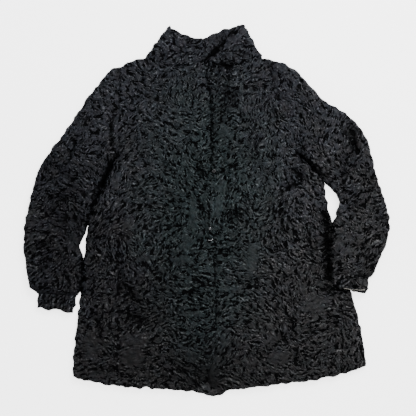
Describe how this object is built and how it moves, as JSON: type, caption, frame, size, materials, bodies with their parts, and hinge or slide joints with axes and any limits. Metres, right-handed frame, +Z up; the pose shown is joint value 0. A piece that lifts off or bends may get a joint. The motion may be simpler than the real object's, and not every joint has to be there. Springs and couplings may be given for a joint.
{
  "type": "fur coat",
  "caption": "Short flared coat in black curly lamb fur with a stand collar, hooked fronts and gathered cuffs, laid out flat.",
  "frame": {"origin": "centre of the laid-out coat's outline, on the surface it lies on", "axes": "+Z up through the lying coat, +Y from the hem to the collar, +X to the wearer's left sleeve"},
  "size_m": [0.9112, 0.927, 0.0428],
  "materials": {
    "fur_black": "curly black lamb fur with a soft sheen",
    "fur_back": "curly black lamb fur lying in shade",
    "steel_wire": "polished steel wire",
    "lining_grey": "pale grey woven lining"
  },
  "bodies": {
    "root": {"back_panel": "fur_back", "front_left": "fur_black", "front_right": "fur_black", "sleeve_right": "fur_black", "sleeve_left": "fur_black", "cuff_right": "fur_black", "cuff_left": "fur_black", "cuff_lining_left": "lining_grey", "collar": "fur_black", "closure_eye_upper": "steel_wire", "closure_hook_lower": "steel_wire"}
  },
  "joints": []
}
